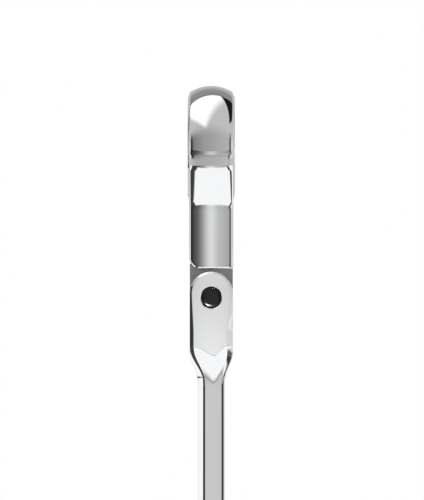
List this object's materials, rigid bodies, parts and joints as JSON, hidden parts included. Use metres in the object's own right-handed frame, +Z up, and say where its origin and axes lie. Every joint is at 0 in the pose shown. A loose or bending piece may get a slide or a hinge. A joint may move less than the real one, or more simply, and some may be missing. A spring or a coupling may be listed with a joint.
{
  "type": "flex-head ratcheting wrench",
  "caption": "Slim chrome combination wrench: a ratcheting ring head on a swivelling flex joint, with a slanted open-end jaw at the other end.",
  "frame": {"origin": "under the middle of the wrench standing on its open end, at the open end's lowest point", "axes": "+Z up the wrench to the ratcheting ring, Y along the flex pin, X through the thickness with the retaining ring on the +X side"},
  "size_m": [0.01, 0.028, 0.178],
  "materials": {
    "chrome": "mirror-polished chrome plate",
    "gear_steel": "satin nickel-plated steel",
    "tool_steel": "ground, oiled tool steel",
    "spring_steel": "blued spring steel",
    "black_oxide": "black oxide steel, half gloss"
  },
  "bodies": {
    "grip": {"handle": "chrome", "flex_pin": "black_oxide", "flex_spring": "spring_steel"},
    "head": {"head_housing": "chrome", "cover_washer": "tool_steel", "retaining_ring": "spring_steel", "pawl_spring": "spring_steel"},
    "gear": {"ratchet_gear": "gear_steel"},
    "pawl": {"pawl": "tool_steel"},
    "plunger": {"flex_plunger": "tool_steel"}
  },
  "joints": [
    {"name": "head_flex", "type": "hinge", "parent": "grip", "child": "head", "pos_m": [0, 0, 0.1327], "axis": [0, 1, 0], "range_deg": [-90, 90]},
    {"name": "gear_turn", "type": "hinge", "parent": "head", "child": "gear", "pos_m": [0, 0, 0.1649], "axis": [1, 0, 0], "continuous": true},
    {"name": "pawl_lift", "type": "slide", "parent": "head", "child": "pawl", "axis": [0, 0, -1], "range_m": [0, 0.0008], "stiffness_N_per_m": 600, "springref_m": -0.001, "deforming": ["pawl_spring"]},
    {"name": "plunger_travel", "type": "slide", "parent": "grip", "child": "plunger", "axis": [0, 0, -1], "range_m": [0, 0.0008], "stiffness_N_per_m": 2000, "springref_m": -0.002, "deforming": ["flex_spring"]}
  ]
}
